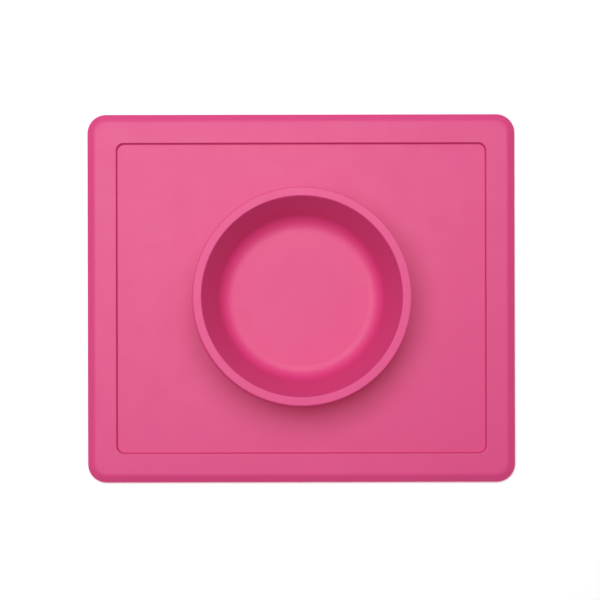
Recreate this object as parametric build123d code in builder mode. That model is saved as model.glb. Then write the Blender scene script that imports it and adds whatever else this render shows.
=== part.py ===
"""A silicone suction bowl: a bowl and its placemat, compression-moulded in one go.

The mat is a rounded rectangle with a bevelled edge, a raised border and a recessed panel.
The bowl stands in the middle of the panel and is double-walled. An outer skirt rises from
the panel to the rim, and the cup hangs from the rim inside the skirt. The ring-shaped
chamber between the two is open underneath, and a shallow pocket lies under the cup's
floor. Pressed down on a table, chamber and pocket lose air, and the bowl holds on.

The product is a single moulding. Each region with a job and a thickness of its own is one
solid here, and neighbouring regions meet face to face where the silicone runs through.

Sizes are in millimetres. The origin is on the table, under the middle of the bowl, with
+X along the mat's length, +Y across it and +Z up.
"""

import os
from math import cos, radians, tan

from build123d import *

# ------------------------------------------------------------------ placemat
mat_length = 273.0
mat_width = 235.0
mat_corner_radius = 11.8
border_width = 19.0  # from the outermost edge to the foot of the step
border_thickness = 4.8
lip_thickness = 2.3  # what the edge bevel leaves of the outermost edge
lip_edge_radius = 0.4
edge_bevel_width = 4.5
edge_blend_radius = 5.0  # where the edge bevel runs into the border's top
step_draft = 8.0  # degrees from upright
step_edge_bevel = 0.3
panel_thickness = 2.0
panel_corner_radius = 4.8

# ---------------------------------------------------------------------- bowl
rim_height = 38.0  # from the table
rim_width = 5.5
rim_depth = 8.0  # solid silicone above the chamber
rim_edge_bevel = 0.6
mouth_radius = 61.7
cup_taper = 18.0  # degrees from upright
cup_wall = 2.5
cup_corner_radius = 10.0  # inside, where the wall runs into the floor
cup_corner_land = 1.0  # level ring between the rounded corner and the floor's disc
cup_heel_bevel = 3.0  # outside, where the wall runs into the foot
skirt_draft = 1.5  # degrees from upright
skirt_wall = 2.5
skirt_root_bevel = 2.2  # outside, where the skirt runs into the panel
chamber_edge_bevel = 0.8  # at the chamber's mouth on the underside
floor_height = 3.5  # top of the cup's floor, from the table
pocket_depth = 1.0
pocket_margin = 5.0  # floor that stands on the table around the pocket
pocket_draft = 45.0  # degrees from upright

# -------------------------------------------------------- sizes that follow
panel_length = mat_length - 2 * border_width
panel_width = mat_width - 2 * border_width
step_height = border_thickness - panel_thickness
edge_bevel_height = border_thickness - lip_thickness

rim_radius = mouth_radius + rim_width
chamber_top = rim_height - rim_depth
pick_slack = 0.01  # when edges are picked by their height
cup_slope = tan(radians(cup_taper))  # inwards for each millimetre down
skirt_slope = tan(radians(skirt_draft))  # outwards for each millimetre down


def cup_inside(height):
    """Radius of the cup's inner face at a height, as if it had no rounded corner."""
    return mouth_radius - (rim_height - height) * cup_slope


def cup_outside(height):
    """Radius of the cup's outer face at a height, as if it had no bevelled heel."""
    return cup_inside(height) + cup_wall / cos(radians(cup_taper))


def skirt_outside(height):
    """Radius of the skirt's outer face at a height, as if it had no bevelled root."""
    return rim_radius + (rim_height - height) * skirt_slope


def skirt_inside(height):
    """Radius of the skirt's inner face at a height."""
    return skirt_outside(height) - skirt_wall / cos(radians(skirt_draft))


# The panel hands over to the skirt where its root begins, and the cup to the floor just
# inside its rounded corner, which turns through a right angle less the taper.
root_radius = skirt_outside(panel_thickness) + skirt_root_bevel
corner_reach = cup_corner_radius * tan(radians(90 - cup_taper) / 2)
floor_radius = cup_inside(floor_height) - corner_reach - cup_corner_land
pocket_radius = floor_radius - pocket_margin


# -------------------------------------------------------------- mat_border
# A bevelled plate with the panel's opening cut out of it. Above the panel the opening
# leans back, so that the moulding leaves its mould.
with BuildPart() as mat_border:
    with BuildSketch() as mat_outline:
        RectangleRounded(mat_length, mat_width, mat_corner_radius)
    extrude(amount=border_thickness)
    chamfer(mat_border.edges().group_by(Axis.Z)[-1], edge_bevel_height, edge_bevel_width)
    fillet(mat_border.edges().group_by(Axis.Z)[-1], edge_blend_radius)
    lip_top = mat_border.edges().filter_by_position(
        Axis.Z, lip_thickness - pick_slack, lip_thickness + pick_slack
    )
    fillet(lip_top, lip_edge_radius)
    with BuildSketch() as panel_seat:
        RectangleRounded(panel_length, panel_width, panel_corner_radius)
    extrude(amount=panel_thickness, mode=Mode.SUBTRACT)
    with BuildSketch(Plane.XY.offset(panel_thickness)) as step_foot:
        RectangleRounded(panel_length, panel_width, panel_corner_radius)
    extrude(amount=step_height, taper=-step_draft, mode=Mode.SUBTRACT)
    border_top = mat_border.faces().sort_by(Axis.Z)[-1]
    chamfer(border_top.inner_wires()[0].edges(), step_edge_bevel)
mat_border.part.label = "mat_border"


# --------------------------------------------------------------- mat_panel
with BuildPart() as mat_panel:
    with BuildSketch() as panel_outline:
        RectangleRounded(panel_length, panel_width, panel_corner_radius)
        Circle(root_radius, mode=Mode.SUBTRACT)
    extrude(amount=panel_thickness)
mat_panel.part.label = "mat_panel"


# -------------------------------------------------------------- bowl_skirt
# The bowl's outer wall, which leaves the panel in a bevelled root.
with BuildPart() as bowl_skirt:
    with BuildSketch(Plane.XZ) as skirt_section:
        chamber_mouth = (skirt_inside(0), 0)
        root_top = panel_thickness + skirt_root_bevel
        with BuildLine() as skirt_outline:
            Polyline(
                (root_radius, 0),
                (root_radius, panel_thickness),
                (skirt_outside(root_top), root_top),
                (skirt_outside(chamber_top), chamber_top),
                (skirt_inside(chamber_top), chamber_top),
                chamber_mouth,
                close=True,
            )
        make_face()
        mouth_corner = skirt_section.vertices().sort_by_distance(chamber_mouth)[0]
        chamfer(mouth_corner, chamber_edge_bevel)
    revolve(axis=Axis.Z)
bowl_skirt.part.label = "bowl_skirt"


# ---------------------------------------------------------------- bowl_rim
# The flat-topped rim joins skirt and cup, and closes the chamber above.
with BuildPart() as bowl_rim:
    with BuildSketch(Plane.XZ) as rim_section:
        with BuildLine() as rim_outline:
            Polyline(
                (skirt_outside(chamber_top), chamber_top),
                (rim_radius, rim_height),
                (mouth_radius, rim_height),
                (cup_inside(chamber_top), chamber_top),
                close=True,
            )
        make_face()
        chamfer(rim_section.vertices().group_by(Axis.Y)[-1], rim_edge_bevel)
    revolve(axis=Axis.Z)
bowl_rim.part.label = "bowl_rim"


# ---------------------------------------------------------------- bowl_cup
# The cup's wall with its rounded corner, down to the foot that stands on the table.
with BuildPart() as bowl_cup:
    with BuildSketch(Plane.XZ) as cup_section:
        corner = (cup_inside(floor_height), floor_height)
        heel = (cup_outside(0), 0)
        with BuildLine() as cup_outline:
            Polyline(
                (cup_outside(chamber_top), chamber_top),
                (cup_inside(chamber_top), chamber_top),
                corner,
                (floor_radius, floor_height),
                (floor_radius, 0),
                heel,
                close=True,
            )
        make_face()
        fillet(cup_section.vertices().sort_by_distance(corner)[0], cup_corner_radius)
        chamfer(cup_section.vertices().sort_by_distance(heel)[0], cup_heel_bevel)
    revolve(axis=Axis.Z)
bowl_cup.part.label = "bowl_cup"


# -------------------------------------------------------------- bowl_floor
# A disc that fills the cup's bottom, hollowed underneath by the pocket.
with BuildPart() as bowl_floor:
    with BuildSketch() as floor_outline:
        Circle(floor_radius)
    extrude(amount=floor_height)
    with BuildSketch() as pocket_mouth:
        Circle(pocket_radius)
    extrude(amount=pocket_depth, taper=pocket_draft, mode=Mode.SUBTRACT)
bowl_floor.part.label = "bowl_floor"


# ------------------------------------------------------------------ export
os.makedirs("parts", exist_ok=True)
for region in (mat_border, mat_panel, bowl_skirt, bowl_rim, bowl_cup, bowl_floor):
    export_step(region.part, f"parts/{region.part.label}.step")
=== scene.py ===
"""A silicone suction bowl moulded in one go with its placemat, dressed for rendering.

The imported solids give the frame. Each region of the moulding is rebuilt here as a closed
mesh with its true edge roundings, rides on the same body and stands for its CAD node.
Sizes are in millimetres, unless a comment says metres, and become metres where a mesh
is made.
"""

from __future__ import annotations

import logging
import math
from dataclasses import dataclass, field
from enum import Enum
from typing import Any, Sequence

import bpy
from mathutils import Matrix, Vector

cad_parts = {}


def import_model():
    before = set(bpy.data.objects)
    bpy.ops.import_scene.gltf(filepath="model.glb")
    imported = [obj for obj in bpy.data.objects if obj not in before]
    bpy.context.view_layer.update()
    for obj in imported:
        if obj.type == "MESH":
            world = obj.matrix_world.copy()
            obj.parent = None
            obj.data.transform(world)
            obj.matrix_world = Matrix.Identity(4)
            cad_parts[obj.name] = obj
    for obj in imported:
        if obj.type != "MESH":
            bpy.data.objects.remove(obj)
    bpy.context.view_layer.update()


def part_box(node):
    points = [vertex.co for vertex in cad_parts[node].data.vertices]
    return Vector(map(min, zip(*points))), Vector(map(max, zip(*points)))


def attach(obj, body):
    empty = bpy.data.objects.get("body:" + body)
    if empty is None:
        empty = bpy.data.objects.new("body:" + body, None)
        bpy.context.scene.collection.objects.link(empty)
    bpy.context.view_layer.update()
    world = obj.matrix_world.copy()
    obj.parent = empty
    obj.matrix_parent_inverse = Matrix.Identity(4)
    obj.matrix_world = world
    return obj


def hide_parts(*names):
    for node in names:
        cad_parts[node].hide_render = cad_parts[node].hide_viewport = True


MM = 0.001
BODY = "root"

STATIONS_PER_SIDE = 28  # along half of a straight side of the mat
STATIONS_PER_CORNER = 16
QUADRANT = 2 * STATIONS_PER_SIDE + STATIONS_PER_CORNER
ARC_STEP = math.radians(10)
FEWEST_ARC_STEPS = 3
HOLD = 0.2  # flat left beside a rounding, so that the flat shades flat
HOLD_PARTS = 3  # a hold takes at most one part in three of what an arc leaves of a side
LONGEST_RUN = 8.0  # before a straight run of a section is divided
TOUCHING = 1e-6  # two points of a section that are nearer than this are one
SHARP_ANGLE = math.radians(35)

Point = tuple[float, float]
Ring = list[Vector]

log = logging.getLogger("suction_bowl")


class Axis(Enum):
    """The frame's axes, as places in a corner of a box."""

    X = 0
    Y = 1
    Z = 2


# ----------------------------------------------------------------- sections


@dataclass(frozen=True)
class Corner:
    """A corner of a section.

    reach is the distance from the bowl's axis, or on the mat the distance in from its
    outermost edge. radius rounds the corner, and 0 leaves it sharp.
    """

    reach: float
    height: float
    radius: float = 0.0

    def at(self) -> Vector:
        """The corner's place in the section."""
        return Vector((self.reach, self.height))


def round_corner(before: Corner, corner: Corner, after: Corner) -> list[Point]:
    """Samples one corner of a section.

    Args:
        before: the corner that comes before it.
        corner: the corner to sample.
        after: the corner that comes after it.

    Returns:
        The corner alone if it is sharp, or its arc between two hold points.
    """
    here = corner.at()
    if corner.radius == 0:
        return [(here.x, here.y)]
    to_before, to_after = before.at() - here, after.at() - here
    room = min(to_before.length, to_after.length)
    to_before.normalize()
    to_after.normalize()
    opening = to_before.angle(to_after)
    tangent = corner.radius / math.tan(opening / 2)
    middle = here + (to_before + to_after).normalized() * (
        corner.radius / math.sin(opening / 2)
    )
    start = here + to_before * tangent
    turn = math.pi - opening
    steps = max(FEWEST_ARC_STEPS, math.ceil(turn / ARC_STEP))
    spoke = start - middle
    side = math.copysign(1.0, to_before.y * to_after.x - to_before.x * to_after.y)
    points = []
    for step in range(steps + 1):
        angle = side * turn * step / steps
        turned = Vector(
            (
                spoke.x * math.cos(angle) - spoke.y * math.sin(angle),
                spoke.x * math.sin(angle) + spoke.y * math.cos(angle),
            )
        )
        points.append(middle + turned)
    hold = min(HOLD, (room - tangent) / HOLD_PARTS)
    if hold > 0:
        points.insert(0, here + to_before * (tangent + hold))
        points.append(here + to_after * (tangent + hold))
    return [(point.x, point.y) for point in points]


def trace(corners: Sequence[Corner], closed: bool = True) -> list[Point]:
    """Turns the corners of a section into points along it.

    Args:
        corners: the section's corners in order.
        closed: whether the last corner runs back to the first.

    Returns:
        Points along the outline, with arcs at rounded corners and long runs divided.
    """
    count = len(corners)
    outline: list[Point] = []
    for index, corner in enumerate(corners):
        for point in round_corner(corners[index - 1], corner, corners[(index + 1) % count]):
            if not outline or math.dist(point, outline[-1]) > TOUCHING:
                outline.append(point)
    divided: list[Point] = []
    for index, (reach, height) in enumerate(outline):
        divided.append((reach, height))
        last = index == len(outline) - 1
        if last and not closed:
            break
        next_reach, next_height = outline[(index + 1) % len(outline)]
        run = math.hypot(next_reach - reach, next_height - height)
        parts = math.ceil(run / LONGEST_RUN)
        for part in range(1, parts):
            share = part / parts
            divided.append(
                (
                    reach + (next_reach - reach) * share,
                    height + (next_height - height) * share,
                )
            )
    return divided


# -------------------------------------------------------------------- rings


def round_ring(radius: float, height: float) -> Ring:
    """One level circle about the bowl's axis.

    Args:
        radius: the circle's radius in millimetres.
        height: its height above the table in millimetres.

    Returns:
        Its stations in metres, as many as a ring of the mat has.
    """
    count = 4 * QUADRANT
    return [
        Vector(
            (
                radius * math.cos(math.tau * index / count),
                radius * math.sin(math.tau * index / count),
                height,
            )
        )
        * MM
        for index in range(count)
    ]


def between(first: Ring, second: Ring, share: float) -> Ring:
    """The ring that lies a share of the way from the first ring to the second."""
    return [start.lerp(end, share) for start, end in zip(first, second)]


def ring_mesh(name: str, rings: Sequence[Ring], closed: bool = True) -> bpy.types.Object:
    """Skins a run of rings.

    Args:
        name: the new piece's name.
        rings: rings with as many stations each, in order along the section.
        closed: whether the last ring joins the first. If not, both ends are closed by a
            fan of triangles about the bowl's axis.

    Returns:
        The piece, a closed surface with its sharp edges marked.
    """
    count = len(rings[0])
    vertices = [tuple(station) for ring in rings for station in ring]
    faces: list[tuple[int, ...]] = []
    spans = len(rings) if closed else len(rings) - 1
    for span in range(spans):
        here, there = span * count, (span + 1) % len(rings) * count
        for index in range(count):
            after = (index + 1) % count
            faces.append((here + index, here + after, there + after, there + index))
    if not closed:
        for ring, flip in ((0, True), (len(rings) - 1, False)):
            hub = len(vertices)
            vertices.append((0.0, 0.0, rings[ring][0].z))
            for index in range(count):
                rim = (ring * count + index, ring * count + (index + 1) % count)
                faces.append((hub, *(reversed(rim) if flip else rim)))
    mesh = bpy.data.meshes.new(name)
    mesh.from_pydata(vertices, [], faces)
    if volume_sign(mesh) < 0:
        mesh.flip_normals()
    mesh.shade_smooth()
    mesh.set_sharp_from_angle(angle=SHARP_ANGLE)
    piece = bpy.data.objects.new(name, mesh)
    bpy.context.scene.collection.objects.link(piece)
    return piece


def volume_sign(mesh: bpy.types.Mesh) -> float:
    """A number with the sign of the volume that the mesh's faces enclose."""
    return sum(face.center.dot(face.normal) * face.area for face in mesh.polygons)


# ------------------------------------------------------------------ finishes


def linear(code: str) -> tuple[float, float, float, float]:
    """Turns an sRGB hex colour into linear values.

    Args:
        code: the colour as "#RRGGBB".

    Returns:
        Red, green, blue and an alpha of 1.
    """
    channels = []
    for start in (1, 3, 5):
        value = int(code[start : start + 2], 16) / 255
        # The sRGB curve is straight where it is darkest, and a power above that.
        if value <= 0.04045:
            channels.append(value / 12.92)
        else:
            channels.append(((value + 0.055) / 1.055) ** 2.4)
    return (channels[0], channels[1], channels[2], 1.0)


def add_node(
    tree: bpy.types.NodeTree,
    kind: str,
    settings: dict[str, Any] | None = None,
    inputs: dict[str, Any] | None = None,
) -> bpy.types.Node:
    """Adds a node with its settings, values and links.

    Args:
        tree: the node tree that it goes into.
        kind: the node's type.
        settings: attributes of the node itself.
        inputs: values for its sockets, or the output socket that feeds one.

    Returns:
        The new node.
    """
    node = tree.nodes.new(kind)
    for name, value in (settings or {}).items():
        setattr(node, name, value)
    for name, value in (inputs or {}).items():
        if isinstance(value, bpy.types.NodeSocket):
            tree.links.new(value, node.inputs[name])
        else:
            node.inputs[name].default_value = value
    return node


def new_material(name: str) -> bpy.types.Material:
    """Makes an empty node material.

    Args:
        name: the material's name.

    Returns:
        The material, with nothing in its node tree.
    """
    material = bpy.data.materials.new(name)
    material.use_nodes = True
    material.node_tree.nodes.clear()
    return material


@dataclass(frozen=True)
class Pattern:
    """An uneven pattern in or on a surface, drawn by a noise node."""

    spacing: float  # mm from one patch to the next
    octaves: float  # how many times the patches break up into finer ones
    crispness: float  # how much each finer octave counts

    def sockets(self, place: bpy.types.NodeSocket) -> dict[str, Any]:
        """What the noise node's sockets are given.

        Args:
            place: the socket with the surface's coordinates in metres.

        Returns:
            Values by the sockets' names.
        """
        return {
            "Vector": place,
            "Scale": 1 / (self.spacing * MM),
            "Detail": self.octaves,
            "Roughness": self.crispness,
        }


@dataclass(frozen=True)
class MouldedSilicone:
    """Silicone rubber, compression-moulded in a sand-blasted steel mould.

    Platinum-cured silicone takes its colour from pigment kneaded in, so it has the same
    colour all through. The blasted mould leaves it satin: light spreads wide on it, and
    it has a soft bloom where the eye skims it.
    """

    name: str = "compression_moulded_silicone"
    colour: str = "#C93171"
    thin_pigment: str = "#CD3576"  # where the knead left it a touch paler
    ior: float = 1.41
    skin_gloss: float = 0.86  # bare silicone would be 0.5, and its filler adds the rest
    roughness_low: float = 0.54
    roughness_high: float = 0.58
    bloom: float = 0.03
    bloom_roughness: float = 0.5
    pigment_drift: Pattern = Pattern(spacing=55.0, octaves=2.0, crispness=0.5)
    # Hands have smoothed it in patches: noise from low to high spans the two roughnesses.
    handled: Pattern = Pattern(spacing=18.0, octaves=4.0, crispness=0.6)
    handled_low: float = 0.3
    handled_high: float = 0.7
    # Real blast grain is about 0.05 mm, too fine to show, so it is drawn coarser.
    grain: Pattern = Pattern(spacing=0.7, octaves=3.0, crispness=0.6)
    grain_depth: float = 0.012  # mm
    grain_strength: float = 0.5

    def build(self) -> bpy.types.Material:
        """Makes the material.

        Returns:
            The material, ready for every piece of the moulding.
        """
        material = new_material(self.name)
        tree = material.node_tree
        place = add_node(tree, "ShaderNodeTexCoord").outputs["Object"]
        drift = add_node(
            tree, "ShaderNodeTexNoise", inputs=self.pigment_drift.sockets(place)
        )
        pigment = add_node(
            tree,
            "ShaderNodeMix",
            {"data_type": "RGBA"},
            {
                "Factor": drift.outputs["Fac"],
                "A": linear(self.colour),
                "B": linear(self.thin_pigment),
            },
        )
        handled = add_node(tree, "ShaderNodeTexNoise", inputs=self.handled.sockets(place))
        satin = add_node(
            tree,
            "ShaderNodeMapRange",
            inputs={
                "Value": handled.outputs["Fac"],
                "From Min": self.handled_low,
                "From Max": self.handled_high,
                "To Min": self.roughness_low,
                "To Max": self.roughness_high,
            },
        )
        blast = add_node(tree, "ShaderNodeTexNoise", inputs=self.grain.sockets(place))
        relief = add_node(
            tree,
            "ShaderNodeBump",
            inputs={
                "Strength": self.grain_strength,
                "Distance": self.grain_depth * MM,
                "Height": blast.outputs["Fac"],
            },
        )
        shader = add_node(
            tree,
            "ShaderNodeBsdfPrincipled",
            inputs={
                "Base Color": mix_output(pigment),
                "Roughness": satin.outputs["Result"],
                "IOR": self.ior,
                "Specular IOR Level": self.skin_gloss,
                "Sheen Weight": self.bloom,
                "Sheen Roughness": self.bloom_roughness,
                "Normal": relief.outputs["Normal"],
            },
        )
        surface = {"Surface": shader.outputs["BSDF"]}
        add_node(tree, "ShaderNodeOutputMaterial", inputs=surface)
        return material


def mix_output(mix: bpy.types.Node) -> bpy.types.NodeSocket:
    """The colour output of a Mix node, which has one output for each data type."""
    return next(out for out in mix.outputs if out.enabled and out.type == "RGBA")


@dataclass(frozen=True)
class PaintedBoard:
    """White emulsion rolled on a smooth board: dull, bright and even."""

    name: str = "rolled_white_emulsion"
    colour: str = "#FFFFFF"
    roughness: float = 0.9
    skin_gloss: float = 0.2  # chalk in the paint leaves little of it

    def build(self) -> bpy.types.Material:
        """Makes the material.

        Returns:
            The material, for the studio's floor.
        """
        material = new_material(self.name)
        tree = material.node_tree
        shader = add_node(
            tree,
            "ShaderNodeBsdfPrincipled",
            inputs={
                "Base Color": linear(self.colour),
                "Roughness": self.roughness,
                "Specular IOR Level": self.skin_gloss,
            },
        )
        surface = {"Surface": shader.outputs["BSDF"]}
        add_node(tree, "ShaderNodeOutputMaterial", inputs=surface)
        return material


# -------------------------------------------------------------- the moulding


def box_side(node: str, axis: Axis, high: bool = True) -> float:
    """Where a CAD node ends along an axis.

    Args:
        node: the node's name.
        axis: the axis to read.
        high: whether its high or its low end is wanted.

    Returns:
        The place in millimetres.
    """
    low_corner, high_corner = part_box(node)
    return (high_corner if high else low_corner)[axis.value] / MM


def dress(piece: bpy.types.Object, node: str, finish: bpy.types.Material) -> None:
    """Finishes a piece, puts it on the body and lets it stand for its CAD node.

    Args:
        piece: the finished mesh's object.
        node: the CAD node that it stands for.
        finish: its material.
    """
    piece.data.materials.append(finish)
    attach(piece, BODY)
    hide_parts(node)
    log.info("%s stands for %s, %d faces", piece.name, node, len(piece.data.polygons))


@dataclass
class Placemat:
    """The mat: a bevelled border that stands almost 3 mm above the panel inside it."""

    lip_thickness: float = 2.3
    lip_radius: float = 0.4
    edge_bevel_width: float = 4.5
    edge_blend_radius: float = 5.0
    corner_radius: float = 11.8
    panel_corner_radius: float = 4.8
    step_draft: float = 12.0  # degrees from upright
    step_edge_radius: float = 0.35
    step_foot_radius: float = 0.3
    seam_land: float = 1.0  # flat panel beside the step that belongs to the border
    panel_rings: int = 10
    half_length: float = field(init=False)
    half_width: float = field(init=False)
    thickness: float = field(init=False)
    border_width: float = field(init=False)
    panel_thickness: float = field(init=False)
    seam_inset: float = field(init=False)  # from the mat's edge to the border's inner side

    def __post_init__(self) -> None:
        """Reads from the frame what the CAD nodes give."""
        self.half_length = box_side("mat_border", Axis.X)
        self.half_width = box_side("mat_border", Axis.Y)
        self.thickness = box_side("mat_border", Axis.Z)
        self.border_width = self.half_length - box_side("mat_panel", Axis.X)
        self.panel_thickness = box_side("mat_panel", Axis.Z)
        self.seam_inset = self.border_width + self.seam_land

    def corner_at(self, inset: float) -> float:
        """The radius of the mat's corners along a line inside its outline.

        Args:
            inset: how far the line runs in from the mat's outermost edge.

        Returns:
            The radius in millimetres. Lines on the bevel run parallel round the corner, and
            so do lines inside the step. Across the flat, the radius goes evenly from the
            one to the other.
        """
        bevel_corner = self.corner_radius - self.edge_bevel_width
        if inset <= self.edge_bevel_width:
            return self.corner_radius - inset
        if inset <= self.border_width:
            share = (inset - self.edge_bevel_width) / (
                self.border_width - self.edge_bevel_width
            )
            return bevel_corner + (self.panel_corner_radius - bevel_corner) * share
        return self.panel_corner_radius - (inset - self.border_width)

    def ring(self, inset: float, height: float) -> Ring:
        """A level rounded rectangle.

        Args:
            inset: its distance in from the mat's outermost edge.
            height: its height above the table.

        Returns:
            Its stations in metres, from the middle of the right side round by the top.
        """
        length = self.half_length - inset
        width = self.half_width - inset
        radius = self.corner_at(inset)
        quarter = []
        for step in range(STATIONS_PER_SIDE):
            share = step / STATIONS_PER_SIDE
            quarter.append((length, (width - radius) * share))
        for step in range(STATIONS_PER_CORNER):
            angle = math.pi / 2 * step / STATIONS_PER_CORNER
            quarter.append(
                (
                    length - radius + radius * math.cos(angle),
                    width - radius + radius * math.sin(angle),
                )
            )
        for step in range(STATIONS_PER_SIDE + 1):
            share = 1 - step / STATIONS_PER_SIDE
            quarter.append(((length - radius) * share, width))
        back = quarter[:0:-1]
        signs = ((1, 1, quarter[:-1]), (-1, 1, back), (-1, -1, quarter[:-1]), (1, -1, back))
        return [
            Vector((x_sign * x, y_sign * y, height)) * MM
            for x_sign, y_sign, points in signs
            for x, y in points
        ]

    def border(self) -> bpy.types.Object:
        """The raised border.

        Returns:
            The border, from the mat's edge to just inside the step.
        """
        step_height = self.thickness - self.panel_thickness
        step_lean = step_height * math.tan(math.radians(self.step_draft))
        section = trace(
            (
                Corner(0.0, 0.0),
                Corner(0.0, self.lip_thickness, self.lip_radius),
                Corner(self.edge_bevel_width, self.thickness, self.edge_blend_radius),
                Corner(
                    self.border_width - step_lean, self.thickness, self.step_edge_radius
                ),
                Corner(self.border_width, self.panel_thickness, self.step_foot_radius),
                Corner(self.seam_inset, self.panel_thickness),
                Corner(self.seam_inset, 0.0),
            )
        )
        return ring_mesh("silicone_border", [self.ring(*point) for point in section])

    def panel(self, root_radius: float) -> bpy.types.Object:
        """The recessed panel.

        Args:
            root_radius: where the bowl's skirt takes over from it.

        Returns:
            The panel, with a round hole for the bowl.
        """
        rings = []
        for height in (self.panel_thickness, 0.0):
            outer = self.ring(self.seam_inset, height)
            inner = round_ring(root_radius, height)
            face = [
                between(outer, inner, step / self.panel_rings)
                for step in range(self.panel_rings + 1)
            ]
            rings += face if height else reversed(face)
        return ring_mesh("silicone_panel", rings)

    def build(self, root_radius: float, finish: bpy.types.Material) -> None:
        """Makes and dresses the mat's two regions around a bowl with that root."""
        dress(self.border(), "mat_border", finish)
        dress(self.panel(root_radius), "mat_panel", finish)


@dataclass
class Bowl:
    """The double-walled bowl: a cup hung from the rim inside an upright skirt.

    The ring-shaped chamber between the walls is open underneath, and a pocket lies under
    the cup's floor. Both hold the bowl to the table.
    """

    rim_width: float = 5.5
    rim_radius: float = 0.8  # rounding of both edges of the rim's flat top
    mouth_radius: float = 61.7
    cup_taper: float = 18.0  # degrees from upright
    cup_wall: float = 2.5
    cup_corner_radius: float = 10.0
    cup_heel_radius: float = 4.0
    skirt_draft: float = 1.5  # degrees from upright
    skirt_wall: float = 2.5
    skirt_root_radius: float = 2.5
    seam_land: float = 1.0  # flat panel beside the root that belongs to the skirt
    chamber_edge_radius: float = 0.8
    chamber_arch_radius: float = 1.3
    pocket_margin: float = 5.0
    pocket_depth: float = 1.0
    pocket_radius: float = 0.5  # rounding of the pocket's two edges
    rim_height: float = field(init=False)
    chamber_top: float = field(init=False)
    panel_thickness: float = field(init=False)
    floor_radius: float = field(init=False)
    floor_height: float = field(init=False)
    root_radius: float = field(init=False)  # where the panel takes over from the skirt

    def __post_init__(self) -> None:
        """Reads from the frame what the CAD nodes give."""
        self.rim_height = box_side("bowl_rim", Axis.Z)
        self.chamber_top = box_side("bowl_rim", Axis.Z, high=False)
        self.panel_thickness = box_side("mat_panel", Axis.Z)
        self.floor_radius = box_side("bowl_floor", Axis.X)
        self.floor_height = box_side("bowl_floor", Axis.Z)
        root_reach = self.skirt_root_radius * math.tan(
            math.radians(90 - self.skirt_draft) / 2
        )
        self.root_radius = (
            self.skirt_outside(self.panel_thickness) + root_reach + self.seam_land
        )

    def cup_inside(self, height: float) -> float:
        """Radius of the cup's inner face at a height."""
        return self.mouth_radius - (self.rim_height - height) * math.tan(
            math.radians(self.cup_taper)
        )

    def cup_outside(self, height: float) -> float:
        """Radius of the cup's outer face at a height."""
        return self.cup_inside(height) + self.cup_wall / math.cos(
            math.radians(self.cup_taper)
        )

    def skirt_outside(self, height: float) -> float:
        """Radius of the skirt's outer face at a height."""
        return (
            self.mouth_radius
            + self.rim_width
            + (self.rim_height - height) * math.tan(math.radians(self.skirt_draft))
        )

    def skirt_inside(self, height: float) -> float:
        """Radius of the skirt's inner face at a height."""
        return self.skirt_outside(height) - self.skirt_wall / math.cos(
            math.radians(self.skirt_draft)
        )

    def skirt(self) -> bpy.types.Object:
        """The outer wall.

        Returns:
            The wall, from the flat of the panel up to the rim.
        """
        top = self.chamber_top
        section = trace(
            (
                Corner(self.root_radius, 0.0),
                Corner(self.root_radius, self.panel_thickness),
                Corner(
                    self.skirt_outside(self.panel_thickness),
                    self.panel_thickness,
                    self.skirt_root_radius,
                ),
                Corner(self.skirt_outside(top), top),
                Corner(self.skirt_inside(top), top),
                Corner(self.skirt_inside(0.0), 0.0, self.chamber_edge_radius),
            )
        )
        return ring_mesh("silicone_skirt", [round_ring(*point) for point in section])

    def rim(self) -> bpy.types.Object:
        """The flat-topped rim.

        Returns:
            The rim, arched underneath where it closes the chamber.
        """
        top = self.chamber_top
        arch = top + self.chamber_arch_radius
        section = trace(
            (
                Corner(self.skirt_outside(top), top),
                Corner(
                    self.mouth_radius + self.rim_width, self.rim_height, self.rim_radius
                ),
                Corner(self.mouth_radius, self.rim_height, self.rim_radius),
                Corner(self.cup_inside(top), top),
                Corner(self.cup_outside(top), top),
                Corner(self.cup_outside(top), arch, self.chamber_arch_radius),
                Corner(self.skirt_inside(top), arch, self.chamber_arch_radius),
                Corner(self.skirt_inside(top), top),
            )
        )
        return ring_mesh("silicone_rim", [round_ring(*point) for point in section])

    def cup(self) -> bpy.types.Object:
        """The cup's wall.

        Returns:
            The wall, with its rounded corner and the foot that it stands on.
        """
        top = self.chamber_top
        section = trace(
            (
                Corner(self.cup_outside(top), top),
                Corner(self.cup_inside(top), top),
                Corner(
                    self.cup_inside(self.floor_height),
                    self.floor_height,
                    self.cup_corner_radius,
                ),
                Corner(self.floor_radius, self.floor_height),
                Corner(self.floor_radius, 0.0),
                Corner(self.cup_outside(0.0), 0.0, self.cup_heel_radius),
            )
        )
        return ring_mesh("silicone_cup", [round_ring(*point) for point in section])

    def floor(self) -> bpy.types.Object:
        """The cup's floor.

        Returns:
            The floor, with the pocket under it.
        """
        mouth = self.floor_radius - self.pocket_margin
        hub = LONGEST_RUN / 2
        section = trace(
            (
                Corner(hub, self.floor_height),
                Corner(self.floor_radius, self.floor_height),
                Corner(self.floor_radius, 0.0),
                Corner(mouth, 0.0, self.pocket_radius),
                Corner(mouth - self.pocket_depth, self.pocket_depth, self.pocket_radius),
                Corner(hub, self.pocket_depth),
            ),
            closed=False,
        )
        rings = [round_ring(*point) for point in section]
        return ring_mesh("silicone_floor", rings, closed=False)

    def build(self, finish: bpy.types.Material) -> None:
        """Makes and dresses the bowl's four regions.

        Args:
            finish: the material of all four.
        """
        dress(self.skirt(), "bowl_skirt", finish)
        dress(self.rim(), "bowl_rim", finish)
        dress(self.cup(), "bowl_cup", finish)
        dress(self.floor(), "bowl_floor", finish)


# ----------------------------------------------------------------- the studio


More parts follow.
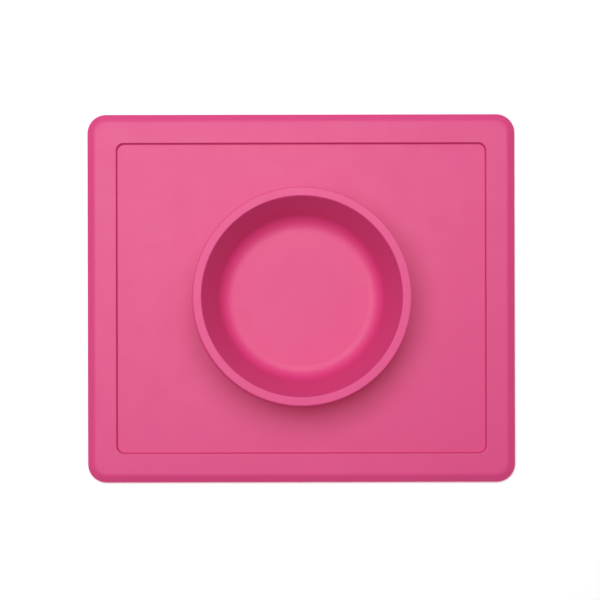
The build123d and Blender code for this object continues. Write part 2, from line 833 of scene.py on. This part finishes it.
@dataclass(frozen=True)
class SoftBox:
    """A soft box that faces the bowl, with its long side level.

    Walls of silicone this thin let some red light through, so their shadows are redder
    than the lamp. Shaders that stop at the surface can't do that. So a share of the
    lamp's red light hangs in the same place as a lamp of its own, which the silicone
    doesn't stop. Where neither is shaded, the two add up to the one lamp.
    """

    azimuth: float = 116.1  # degrees from +X towards +Y
    elevation: float = 75.2  # degrees above the table
    distance: float = 0.97  # metres
    length: float = 0.86  # metres, the level side
    width: float = 0.6  # metres
    power: float = 10.03  # watts
    colour: str = "#FAFCFF"
    red_through: float = 0.4  # the share of its red light that gets through silicone
    stagger: float = 0.003  # metres that the red share hangs behind the rest

    def build(self, backdrop: bpy.types.Object) -> None:
        """Hangs the lamp in its two shares.

        Args:
            backdrop: what stops the red share too.
        """
        red, green, blue, _ = linear(self.colour)
        rest = (red * (1 - self.red_through), green, blue)
        self.hang("soft_box", rest, self.distance)
        through = self.hang(
            "soft_box_red_share",
            (red * self.red_through, 0.0, 0.0),
            self.distance + self.stagger,
        )
        blockers = bpy.data.collections.new("stops_red_light")
        blockers.objects.link(backdrop)
        through.light_linking.blocker_collection = blockers

    def hang(self, name: str, colour: Sequence[float], distance: float) -> bpy.types.Object:
        """Hangs one share of the lamp and turns it to the bowl.

        Args:
            name: the share's name.
            colour: its linear red, green and blue.
            distance: how far it hangs from the bowl, in metres.

        Returns:
            The lamp.
        """
        lamp = bpy.data.lights.new(name, "AREA")
        lamp.shape = "RECTANGLE"
        lamp.size, lamp.size_y = self.length, self.width
        lamp.energy = self.power
        lamp.color = colour
        hung = bpy.data.objects.new(name, lamp)
        azimuth, elevation = math.radians(self.azimuth), math.radians(self.elevation)
        place = Vector(
            (
                math.cos(elevation) * math.cos(azimuth),
                math.cos(elevation) * math.sin(azimuth),
                math.sin(elevation),
            )
        )
        hung.location = place * distance
        hung.rotation_euler = place.to_track_quat("Z", "Y").to_euler()
        bpy.context.scene.collection.objects.link(hung)
        return hung


@dataclass(frozen=True)
class OverheadCamera:
    """A camera that looks straight down, a little off the mat's middle.

    The frame is then slid sideways to bring the mat back to its middle, which keeps the
    slight lean of the bowl's rim.
    """

    height: float = 835.0  # mm above the table
    east: float = -11.5  # mm from the bowl's axis
    north: float = -27.3
    view_width: float = 384.7  # mm of table that fit across the frame
    middle_east: float = -0.82  # mm from the bowl's axis to the middle of the frame
    middle_north: float = -1.0
    roll: float = -0.12  # degrees, so that the mat lies a touch askew in the frame
    sensor: float = 36.0  # mm
    sight: float = 20.0  # metres, beyond which nothing is drawn

    def build(self) -> None:
        """Places the camera and makes it the scene's own."""
        data = bpy.data.cameras.new("overhead_camera")
        data.sensor_width = self.sensor
        data.lens = self.sensor * self.height / self.view_width
        data.shift_x = (self.middle_east - self.east) / self.view_width
        data.shift_y = (self.middle_north - self.north) / self.view_width
        data.clip_end = self.sight
        camera = bpy.data.objects.new("overhead_camera", data)
        camera.location = Vector((self.east, self.north, self.height)) * MM
        camera.rotation_euler.z = math.radians(self.roll)
        bpy.context.scene.collection.objects.link(camera)
        bpy.context.scene.camera = camera


@dataclass(frozen=True)
class Studio:
    """The plain white floor, the sky, the soft box and the camera."""

    floor_size: float = 8.0  # metres
    floor_drop: float = 0.05  # mm below the underside, so that the two don't touch
    sky: str = "#FFFBF8"
    sky_strength: float = 0.352

    def build(self) -> None:
        """Sets up the whole studio."""
        floor = self.floor()
        self.sky_light()
        SoftBox().build(floor)
        OverheadCamera().build()
        bpy.context.scene.view_settings.view_transform = "Standard"
        log.info("the studio stands")

    def floor(self) -> bpy.types.Object:
        """Lays the floor.

        Returns:
            The floor, a level square about the bowl's axis.
        """
        half = self.floor_size / 2
        mesh = bpy.data.meshes.new("studio_floor")
        corners = ((-half, -half), (half, -half), (half, half), (-half, half))
        mesh.from_pydata([(x, y, 0.0) for x, y in corners], [], [(0, 1, 2, 3)])
        mesh.materials.append(PaintedBoard().build())
        floor = bpy.data.objects.new("studio_floor", mesh)
        floor.location.z = -self.floor_drop * MM
        bpy.context.scene.collection.objects.link(floor)
        return floor

    def sky_light(self) -> None:
        """Lights the room evenly from all round."""
        world = bpy.data.worlds.new("studio_sky")
        bpy.context.scene.world = world
        world.use_nodes = True
        background = world.node_tree.nodes["Background"]
        background.inputs["Color"].default_value = linear(self.sky)
        background.inputs["Strength"].default_value = self.sky_strength


def main() -> None:
    """Builds the moulding and its studio around the frame."""
    logging.basicConfig(level=logging.INFO, format="%(name)s: %(message)s")
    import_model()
    silicone = MouldedSilicone().build()
    bowl = Bowl()
    bowl.build(silicone)
    Placemat().build(bowl.root_radius, silicone)
    Studio().build()


if __name__ == "__main__":
    main()
